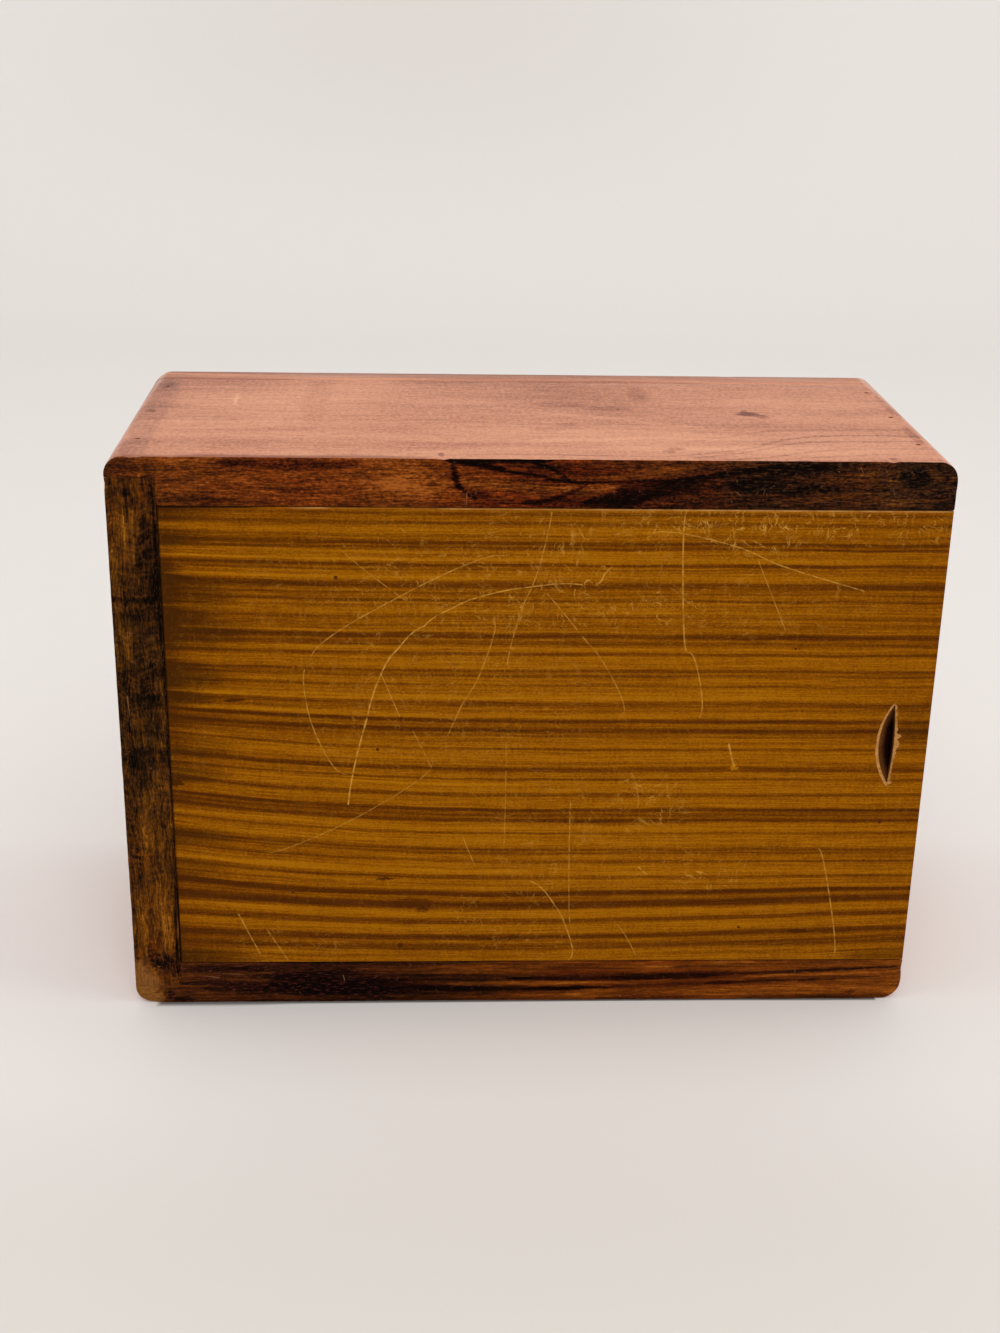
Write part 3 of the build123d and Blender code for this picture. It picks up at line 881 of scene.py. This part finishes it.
veneerShades = [(0.0, seen(168, 106, 6)), (1.0, seen(72, 34, 2)), (0.22, seen(153, 92, 3)),
                (0.45, seen(126, 70, 1)), (0.7, seen(98, 50, 1))]
veneer = {
    "bands": [  # height of each dark stripe, half its width, and how dark it is
        (13.6, 0.4, 0.2), (16.2, 1, 0.6), (19.3, 0.8, 0.85), (24, 0.8, 0.75), (28.7, 1.1, 1.15),
        (32.2, 0.8, 1.05), (34.8, 0.4, 0.15), (37, 0.6, 0.55), (41.7, 0.4, 0.5), (44.2, 0.35, 0.45),
        (45.1, 0.4, 0.6), (49.9, 0.4, 0.45), (53.6, 0.6, 0.8), (55.2, 0.5, 0.45), (56.5, 0.6, 0.85),
        (60.8, 0.6, 0.55), (65.2, 0.4, 0.55), (68, 0.7, 0.75), (69.8, 0.3, 0.2), (73.6, 0.35, 0.6),
        (75.6, 0.3, 0.25), (77.2, 0.4, 0.4), (78.7, 0.7, 0.9), (81.4, 0.55, 0.9), (84.2, 0.4, 0.25),
        (86, 0.8, 0.55), (89.8, 0.3, 0.15), (91, 0.45, 0.45), (93.6, 0.4, 0.5), (94.9, 0.45, 0.6),
        (99.4, 0.5, 0.7), (102.2, 0.6, 0.5), (104, 0.8, 0.8), (106.9, 0.4, 0.2), (109, 0.5, 0.35),
        (111.9, 0.3, 0.2), (113.4, 0.4, 0.5), (115.1, 0.3, 0.25), (117.3, 0.9, 0.65), (121.4, 0.3, 0.3),
        (122.5, 0.45, 0.85), (126.9, 0.5, 0.6), (127.9, 0.6, 0.85), (129.9, 0.3, 0.2), (133, 0.5, 0.45),
        (135.4, 0.45, 0.5),
    ],
    "glow": [  # and of each golden streak, which shows best towards the left
        (22.4, 0.9, 0.3), (26.4, 0.7, 0.5), (35.6, 0.4, 0.3), (38.6, 0.8, 0.6), (47.4, 0.9, 0.3),
        (51.2, 0.7, 0.5), (62.2, 0.6, 0.4), (63.8, 0.4, 0.5), (70.8, 0.9, 0.25), (82.8, 0.5, 0.5),
        (87.6, 0.7, 0.7), (96.5, 0.9, 0.35), (100.9, 0.35, 0.45), (105.3, 0.3, 0.4), (110.6, 0.5, 0.35),
        (119.3, 0.5, 0.55), (123.9, 0.35, 0.95), (125.8, 0.4, 0.4), (131, 0.8, 0.45),
    ],
    "rise": [  # how far the stripes rise towards the right, by height
        (8, 1.2), (16, 1.5), (24, 2), (32, 1.5), (38, 0.3), (50, 0), (141, 0),
    ],
    "bow": [  # and how far they sink towards the left
        (8, 1.6), (18, 2.6), (28, 4), (36, 5), (50, 5.3), (66, 4.8), (74, 4.3), (84, 3), (93, 1.7),
        (104, 1.3), (141, 0.8),
    ],
    "tone": [  # by place along the panel
        (-90, 0.48), (-66, 0.36), (-40, 0.31), (-10, 0.3), (30, 0.28), (70, 0.31), (102, 0.36),
    ],
    "zones": [  # soft darker zones, by height
        (11, 0.06), (14, 0), (16, 0.07), (18, 0.14), (20, 0.06), (21.5, 0), (27.6, 0), (29.5, 0.12),
        (31.5, 0.14), (34, 0), (43, 0.02), (45.4, 0.09), (47, 0), (52.6, 0), (54, 0.15), (56, 0.15),
        (58, 0.01), (66.5, 0.02), (69.4, 0.05), (71, 0), (76.6, 0.02), (78.4, 0.12), (80.6, 0.14), (83, 0),
        (85, 0.05), (87.4, 0), (93, 0.02), (95.6, 0.05), (98, 0), (101.6, 0.05), (104, 0.1), (107.4, 0.07),
        (110.4, 0.04), (113, 0.07), (117, 0.11), (119.4, 0.02), (121.6, 0.06), (124, 0.02), (126.2, 0.07),
        (128.4, 0.12), (130.4, 0.06), (133, 0.09), (137, 0.1),
    ],
    "bowStart": 10, "bowLength": 96,
    "topEdgeRubAndHighlight": [  # how pale the top edge is along the panel: partly rubbed bare, partly a painted highlight on its arris
        (-90, 0), (-60, 0), (-56, 0.8), (-50, 0.8), (-47, 0.15), (-24, 0.2), (-20, 0.9), (-14, 0.7),
        (0, 0.6), (20, 0.85), (102, 0.95),
    ],
    "leftEdge": [  # how dark the left edge is, by height
        (12, 0.16), (22, 0.04), (60, 0.06), (80, 0.16), (104, 0.3), (122, 0.28), (130, 0.1), (138, 0.14),
    ],
    "gapShade": [(12, 0.8), (32, 1), (40, 0.6), (137, 0.7)],  # and how dark the painted shade in the gap beside it
    "darkPatches": [  # x, z, half sizes and how dark
        (-89, 92.5, 12, 4.4, 0.36), (-88, 86, 9, 2, 0.4), (-88, 104.5, 15, 5, 0.26),
        (-87, 113, 12, 6, 0.24), (-90, 119, 5, 3, 0.34), (-88, 128.6, 8, 2.2, 0.24),
        (-88, 13, 14, 2.6, 0.4), (-87, 64.6, 9, 2.4, 0.34), (-88, 47, 12, 2.4, 0.24),
        (-88, 72, 12, 3.4, 0.2), (-88, 135, 9, 2.4, 0.2), (-88, 38, 9, 3, 0.16), (-87, 79, 10, 2.2, 0.14),
        (101, 13, 16, 1.6, 0.25), (101, 80, 8, 6, 0.12),
    ],
    "scuffed": [  # x, z, half sizes and how densely scuffed
        (70, 133.5, 36, 6, 0.8), (56, 130.5, 8, 8, 0.6), (28, 130, 22, 9, 0.35), (-10, 122, 26, 16, 0.4),
        (-40, 118, 26, 14, 0.25), (20, 112, 24, 7, 0.5), (-20, 88, 36, 20, 0.25), (12, 50, 26, 16, 0.3),
        (-4, 24, 20, 9, 0.35), (48, 39, 10, 6, 0.6), (32, 60, 10, 7, 0.6), (60, 112, 24, 10, 0.25),
        (-60, 16, 16, 6, 0.3),
    ],
    "scratches": [  # how clear, half width, and its (x, z) points
        (1, 0.2, (-45.4, 58.3), (-43.7, 69), (-41, 80), (-37, 93.7), (-32.5, 101), (-26.3, 106.7)),
        (0.91, 0.16, (-26.3, 106.7), (-19.5, 111.4), (-11.7, 114.7), (0.3, 117.1), (12.3, 117.6)),
        (0.74, 0.16, (-7, 125), (-19.7, 121), (-31.7, 114.7), (-46.3, 106), (-53.7, 97)),
        (0.74, 0.16, (-53.7, 97), (-55.7, 88), (-53, 77), (-44.3, 67)),
        (0.62, 0.15, (3.7, 115.3), (12.3, 104.7), (19.7, 94.7), (23, 82.7)),
        (0.87, 0.18, (36.7, 136.7), (37, 116), (39, 100)),
        (0.81, 0.17, (39, 100), (42.2, 93.7), (43.1, 82.4)),
        (0.81, 0.15, (28.3, 130), (44.3, 129), (61.7, 122.4), (81.7, 116.3)),
        (0.66, 0.15, (-9.5, 108), (-11.7, 96), (-17, 85.3), (-20.3, 77.3)),
        (0.58, 0.15, (4.3, 136), (1.7, 122.7), (-3.7, 106.7), (-5.3, 96)),
        (0.58, 0.15, (-36.7, 93.7), (-32.3, 82.7)), (0.53, 0.15, (-29, 78.7), (-24.3, 68.7)),
        (0.66, 0.15, (-16.3, 49.3), (-13, 40.7)), (0.49, 0.14, (-5.7, 76), (-5.4, 60), (-5.7, 45)),
        (0.81, 0.18, (1.7, 36), (8.3, 28.7), (10.7, 24), (12.2, 12.4)),
        (0.62, 0.14, (11.3, 58.7), (11.6, 36), (12.3, 24)),
        (0.77, 0.17, (76.3, 45.3), (80.3, 32), (83.3, 13.3)), (0.74, 0.16, (-74.3, 26.7), (-69, 14.7)),
        (0.66, 0.16, (-67, 22), (-61.7, 12.7)), (0.53, 0.14, (-67, 45.6), (-54, 49), (-41, 56), (-24, 70)),
        (0.58, 0.14, (24, 24), (17, 27.5), (30, 14)),
        (0.84, 0.22, (13, 117), (13.6, 118.8), (15.4, 117.6), (17.2, 119.2)),
        (0.87, 0.24, (17.2, 119.2), (18.2, 121.2), (19.3, 122)),
        (0.66, 0.18, (29.5, 112.6), (31.6, 112.6), (31, 109.2), (32.8, 108.4)),
        (0.87, 0.26, (51, 75.2), (51.9, 71.5), (52.8, 69)), (0.81, 0.22, (45, 38.8), (47.4, 38)),
        (0.74, 0.2, (29.5, 40.2), (31.8, 38)), (0.62, 0.18, (34.5, 54.2), (35, 52.6)),
        (0.58, 0.14, (55, 124), (59, 115), (63, 106)), (0.53, 0.14, (-46, 126), (-38, 119), (-30, 113)),
        (0.49, 0.14, (26.5, 67), (28.6, 60), (28, 57)),
    ],
    "specks": [  # x, z and half size
        (-47.7, 119.2, 0.45), (4.7, 53.6, 0.4), (-37.9, 73.6, 0.4), (91.7, 53.1, 0.45), (-32.3, 17.1, 0.7),
        (57, 22.2, 0.35), (88.5, 42, 0.3), (-60, 33, 0.3), (66, 101, 0.3), (-12, 30, 0.35),
    ],
    "knots": [  # x, z, half sizes and how dark
        (-88.3, 64.3, 1.5, 0.9, 0.9), (-26.3, 28, 1.6, 1, 0.4), (-73, 87, 2.2, 0.5, 0.6),
        (-36, 37, 2.4, 0.35, 0.6), (-29, 30, 5, 1.4, 0.25), (73, 21, 3, 0.4, 0.4),
        (-2, 19.5, 2.2, 0.6, 0.3), (52.7, 68.6, 0.8, 0.9, -0.9),
    ],
}


foot = 1.6  # a stripe fades out at this many half widths


def bandCurve(bands, low, high):  # the stripes between two heights, as points of one curve
    inside = [band for band in bands if low < band[0] < high]
    points = [(low, 0.0)]
    for k, (place, half, dark) in enumerate(inside):
        lead = place - foot * half
        if lead > points[-1][0]:
            points.append((lead, 0.0))
        points.append((place, dark))
        trail = place + foot * half
        if k + 1 == len(inside):
            points.append((min(trail, high - 0.1), 0.0))
            break
        after, afterHalf, afterDark = inside[k + 1]
        afterLead = after - foot * afterHalf
        if trail < afterLead:
            points.append((trail, 0.0))
        else:  # two stripes that run into each other
            points.append(((trail + afterLead) / 2, 0.2 * min(dark, afterDark)))
    return points + [(high, 0.0)]


def stripedVeneer():
    paint = Paint("striped_veneer_waxed")
    x, y, z = paint.x, paint.y, paint.z
    # Height is counted along the stripes, which sink to the left and rise to the right
    left = ((veneer["bowStart"] - x) / veneer["bowLength"]).atLeast(0) ** 2.4
    first = z - paint.profile(z, veneer["bow"]) * left
    height = z - paint.profile(first, veneer["bow"]) * left
    height = height - paint.profile(z, veneer["rise"]) * ((x + 10) / 90).atLeast(0) ** 1.4
    sway = paint.vary(x, height, 0.0, (34, 9, 1), 2, 0, 1)
    ripple = paint.vary(x, height, 2.0, (9, 1.6, 1), 1, 0, 1)
    height = height + sway * 0.9 + ripple * 0.35
    bands, glow = 0.0, 0.0
    for low, high in ((11.0, 58.5), (58.5, 97.5), (97.5, 138.0)):
        bands = paint.profile(height, bandCurve(veneer["bands"], low, high)) + bands
        glow = paint.profile(height, bandCurve(veneer["glow"], low, high)) + glow
    strength = paint.cloud(x, height, 3.0, (45, 1.4, 1), 2, 0.2, 0.8)
    streaks = paint.vary(x, height, 0.0, (38, 0.5, 1), 3)
    fine = paint.vary(x, height, 6.0, (12, 0.2, 1))
    broad = paint.vary(x, height, 9.0, (80, 4.0, 1))
    mottle = paint.vary(x, z, 4.0, (1.8, 5, 1))
    speckle = paint.vary(x, z, 8.0, (0.7, 0.5, 1), 2, 0.2, 0.8)
    tone = bands * (0.3 + strength * 0.42) - glow * strength * paint.spread(x, 60, -80, 0.16, 0.75)
    tone = tone + paint.profile(height, veneer["zones"]) + paint.profile(x, veneer["tone"])
    tone = tone + streaks * 0.36 + fine * 0.34 + broad * 0.08 + mottle * 0.14 + speckle * 0.42
    # Dark patches, mostly by the left edge, a darker left edge, knots and specks
    darkPatches = paint.blots(x + streaks * 16, height * 0.5 + z * 0.5, veneer["darkPatches"], 0.9)
    tone = tone + darkPatches + paint.ease(x, -83, -90) * paint.profile(z, veneer["leftEdge"])
    wobble = paint.vary(x, z, 1.0, (2.0, 1.0, 1), 2, 0, 1)
    tone = tone + paint.blots(x + wobble * 5, z + wobble * 2.4, veneer["knots"], 0.8)
    specks = [(a, b, half, half, 0.8) for a, b, half in veneer["specks"]]
    tone = tone + paint.blots(x, z, specks, 0.4)
    colour = paint.shades(tone, veneerShades)
    purple = bands * paint.cloud(x, height, 12.0, (30, 1.5, 1), 2, 0.4, 0.8)
    colour = paint.mix(purple * 0.4, colour, seen(96, 48, 12))
    colour = paint.tinted(colour, (0.78, 1.0, 1.2), darkPatches * 1.5)
    flecks = paint.cloud(x, height, 15.0, (3.0, 0.4, 1), 1, 0.7, 0.8)
    colour = paint.mix(flecks * 0.4, colour, seen(104, 36, 8))
    # Scuffs and scratches
    marks = 0.0
    for turn in (0.3, 1.0, 1.5, 1.8, 2.6):  # short and bent, five ways
        a = x * math.cos(turn) + z * math.sin(turn)
        b = z * math.cos(turn) - x * math.sin(turn) + wobble * 2.2
        dash = paint.cloud(a, b, turn * 9, (3.4, 0.34, 1), 0, 0.64, 0.76)
        marks = (dash * paint.cloud(x, z, turn * 5, (5, 5, 1), 0, 0.52, 0.64)).atLeast(marks)
    scuffed = 0.1 + paint.blots(x, z, veneer["scuffed"], 0.95)
    marks = marks * scuffed.atMost(1.0) * 0.9
    for clear, half, *points in veneer["scratches"]:
        marks = marks.atLeast(paint.scratch(points, half) * clear)
    marks = marks * paint.cloud(x, z, 20.0, (1.6, 1.6, 1), 1, 0.24, 0.62)
    colour = paint.mix(marks * 0.82, colour, seen(202, 148, 58))
    # Painted shade in the gap at the left, and in the gap above the panel's top edge towards its left
    # corner
    topGapShade = paint.ease(z, veneerHigh.z - 0.5, veneerHigh.z - 0.2) * 0.8
    gapShade = paint.ease(x, -89.3, -89.6) * paint.profile(z, veneer["gapShade"])
    gapShade = gapShade.atLeast(paint.ease(x, -62, -70) * topGapShade)
    colour = paint.mix(gapShade, colour, seen(22, 10, 4))
    # Bare wood shows on the lip round the notch; the top edge is paler, partly rubbed bare and partly a
    # painted highlight where its arris catches the light
    lip = paint.ease(y, veneerLow.y + 0.035, veneerLow.y + 0.09)
    around = paint.blot(x, z, (notch["tipsX"], middle.z), (7, 14.5), 0.1)
    topRubAndHighlight = paint.ease(z, veneerHigh.z - 0.42, veneerHigh.z - 0.26)
    patchy = paint.cloud(x, 0.0, 2.0, (5, 1, 1), 2, 0.2, 0.6)
    topRubAndHighlight = topRubAndHighlight * (paint.profile(x, veneer["topEdgeRubAndHighlight"]) * patchy)
    bare = paint.shades(streaks + 0.5, [(0.0, seen(150, 97, 46)), (1.0, seen(202, 148, 84))])
    colour = paint.mix((lip * around).atLeast(topRubAndHighlight), colour, bare)
    rough = 0.42 + marks * 0.2 + streaks * 0.08
    relief = paint.cloud(x, z, 30.0, (20, 0.35, 1))
    return paint.dress(colour, rough, relief, 0.03, 0.02)


def bradSteel():
    paint = Paint("brad_steel_dulled")
    x, y, z = paint.x, paint.y, paint.z
    rust = paint.cloud(x, y, z, (0.5, 0.5, 0.5), 3, 0.4, 0.65)
    colour = paint.shades(rust, [(0.0, (0.09, 0.08, 0.075)), (1.0, (0.12, 0.055, 0.03))])
    lacquered = paint.ease(x, 0, 10) * 0.8  # at the right, lacquer covers them
    colour = paint.mix(lacquered, colour, seen(168, 100, 74))
    return paint.dress(colour, 0.5 + rust * 0.3, rust, 0.03, 0.5)


# The pieces

boardPieces = {  # spacing of the cuts, and the rim at the front
    "upper_long_board": {"spacing": (1.6, 6.0, 3.0), "rim": "upper"},
    "lower_long_board": {"spacing": (1.6, 6.0, 3.0), "rim": "lower"},
    "closed_end_board": {"spacing": (3.0, 6.0, 1.6), "rim": "left"},
    "open_end_board": {"spacing": (3.0, 8.0, 3.0), "rim": None},
    "face_board": {"spacing": (2.4, 3.0, 2.4), "rim": None},
}
rimDepth = 0.5  # a face this close behind the rims' plane still belongs to the rim
roundEdge = 2.2  # and this close to the display face, to its rounded edge
skin = 0.6  # a face this close to the box's outline is on its outside


def onOuterForm(place, normal):
    if place.y > boxHigh.y - roundEdge or place.y < rimY + rimDepth:
        return True
    return outlineDepth(place.x, place.z) < skin and abs(normal.y) < 0.5


for board, plan in boardPieces.items():
    work = cutCopy(board, plan["spacing"])
    wearDown(work)
    piece = makePiece(board + "_worn", work, board)
    materials = [insideWood(board), outerWood(board)]
    if plan["rim"]:
        materials.append(rimWood(plan["rim"]))

    def chooseFace(place, normal):
        if not onOuterForm(place, normal):
            return 0
        facesFront = normal.y < -0.35 or outlineDepth(place.x, place.z) > skin
        return 2 if plan["rim"] and place.y < rimY + rimDepth and facesFront else 1

    finishFaces(piece, materials, chooseFace)
    print("board:", board, len(piece.data.polygons), "faces")

panelPieces = [  # name, node, slot and finish
    ("panel_core_worn", "sliding_panel", "panel_core", coreWood),
    ("panel_veneer_worn", "panel_veneer", "striped_veneer", stripedVeneer),
]
cutter = makeCutter()
for name, node, slot, finish in panelPieces:
    piece = makePiece(name, cutCopy(node, (4.0, 0, 4.0), inNotch), node)
    carve(piece, cutter)
    finishFaces(piece, [finish()], lambda place, normal: 0)
    print("panel:", node, len(piece.data.polygons), "faces")
bpy.data.objects.remove(cutter)

brads = frame["nodes"]["corner_brads"]
brads.data.materials.clear()
brads.data.materials.append(bradSteel())


# The stage, the lights and the camera

studio = {
    "halfWidth": 2.2,  # of the floor's flat part
    "front": -2.0,  # where that ends, along y
    "wall": 1.3,  # how far back the wall stands
    "wallHeight": 2.2,
    "bend": 0.5,  # radius of the turn into the wall
    "lip": 0.6,  # and of the turn up at the front and the sides
    "below": 0.00005,  # the floor lies this far below the box, so that the two never fight
    "tone": (0.82, 0.784, 0.756),
    "contactShadow": [  # width of the painted contact shadow under the box, along x
        (-97, 2.2), (-80, 2.2), (-58, 1.3), (-7, 0.8), (45, 0.5), (82, 0.9), (97, 0.9),
    ],
    "roomLight": 0.665,
    "softboxes": [  # name, place, what it aims at, size, watts
        ("left", (-1.3, -0.25, 0.8), (0, 0, 0.05), (0.9, 1.1), 3.0),
        ("right", (1.3, -0.25, 0.8), (0, 0, 0.05), (0.9, 1.1), 4.5),
        ("front", (0, -1.3, 1.3), (0, 0, 0.05), (1.2, 0.8), 8.5),
        ("wallwash", (0, 0.3, 2.0), (0, 0.85, 0.0), (2.8, 0.5), 5.5),
    ],
}


def makeStage():  # a floor that bends up into a wall behind, and into a low lip on its other sides
    bend, lip, wall = studio["bend"], studio["lip"], studio["wall"]
    steps = 24
    turns = [math.pi / 2 * k / steps for k in range(steps + 1)]
    lipCurve = [(lip * math.sin(turn), lip - lip * math.cos(turn)) for turn in turns]
    line = [(studio["front"] - out, rise) for out, rise in reversed(lipCurve)]
    line += [(wall - bend + bend * math.sin(turn), bend - bend * math.cos(turn)) for turn in turns]
    line.append((wall, studio["wallHeight"]))
    rows = [(-studio["halfWidth"] - out, rise) for out, rise in reversed(lipCurve)]
    rows += [(studio["halfWidth"] + out, rise) for out, rise in lipCurve]
    verts = [(x, y, z + rise - studio["below"]) for y, z in line for x, rise in rows]
    step = len(rows)
    faces = [(step * j + k, step * j + k + 1, step * (j + 1) + k + 1, step * (j + 1) + k)
             for j in range(len(line) - 1) for k in range(step - 1)]
    mesh = bpy.data.meshes.new("sweep")
    mesh.from_pydata(verts, [], faces)
    mesh.polygons.foreach_set("use_smooth", [True] * len(mesh.polygons))
    sweep = bpy.data.objects.new("sweep", mesh)
    bpy.context.scene.collection.objects.link(sweep)
    paint = Paint("pale_sweep")
    x, y, z = paint.x, paint.y, paint.z
    tone = studio["tone"]
    shadedTone = tuple(level * share for level, share in zip(tone, (0.89, 0.88, 0.855)))
    # Painted shade: the sweep is a little darker in front of the box, and on the wall behind it
    frontShade = paint.ease(y, -60, -150) * paint.ease(y, -800, -300) * paint.ease(x, 300, 60)
    frontShade = frontShade * paint.ease(x, -800, -60)
    wallShade = paint.ease(z, 20, 200) * paint.hump(x, -20, 460, 0.7)
    colour = paint.mix(frontShade + wallShade, tone, shadedTone)
    # A painted contact shadow where the box lies
    reach = paint.profile(x, studio["contactShadow"])
    off = (abs(x) - 95.0).atLeast(abs(y) - boxHigh.y)
    colour = paint.mix(paint.ease(off / reach, 1.0, 0.1) * 0.85, colour, (0.08, 0.065, 0.055))
    mesh.materials.append(paint.dress(colour, 0.7, 0.0, 0.0, 0.2))


def makeLight(name, place, target, size, watts):
    data = bpy.data.lights.new(name, "AREA")
    data.shape = "RECTANGLE"
    data.size, data.size_y = size
    data.energy = watts
    lamp = bpy.data.objects.new(name, data)
    lamp.location = place
    lamp.rotation_euler = (Vector(target) - Vector(place)).to_track_quat("-Z", "Y").to_euler()
    bpy.context.scene.collection.objects.link(lamp)


view = {  # the photograph's view, fitted to the box's corners
    "place": (-0.0270, -0.4618, 0.2612),
    "right": (0.99904, -0.03971, 0.01838),
    "up": (-0.00241, 0.36944, 0.92925),
    "sensor": 36,
    "lens": 1.3554,  # focal length, in sensor widths
}


def makeCamera():
    data = bpy.data.cameras.new("camera")
    data.sensor_width = view["sensor"]
    data.lens = view["sensor"] * view["lens"]
    right, up = Vector(view["right"]), Vector(view["up"])
    turn = Matrix((right, up, right.cross(up))).transposed().to_4x4()
    camera = bpy.data.objects.new("camera", data)
    camera.matrix_world = Matrix.Translation(view["place"]) @ turn
    bpy.context.scene.collection.objects.link(camera)
    bpy.context.scene.camera = camera


makeStage()
for light in studio["softboxes"]:
    makeLight(*light)
room = bpy.data.worlds.new("room")
room.use_nodes = True
background = room.node_tree.nodes["Background"].inputs
background["Color"].default_value = (1, 1, 1, 1)
background["Strength"].default_value = studio["roomLight"]
bpy.context.scene.world = room
makeCamera()
bpy.context.scene.view_settings.view_transform = "Standard"
print("stage, lights and camera are set")
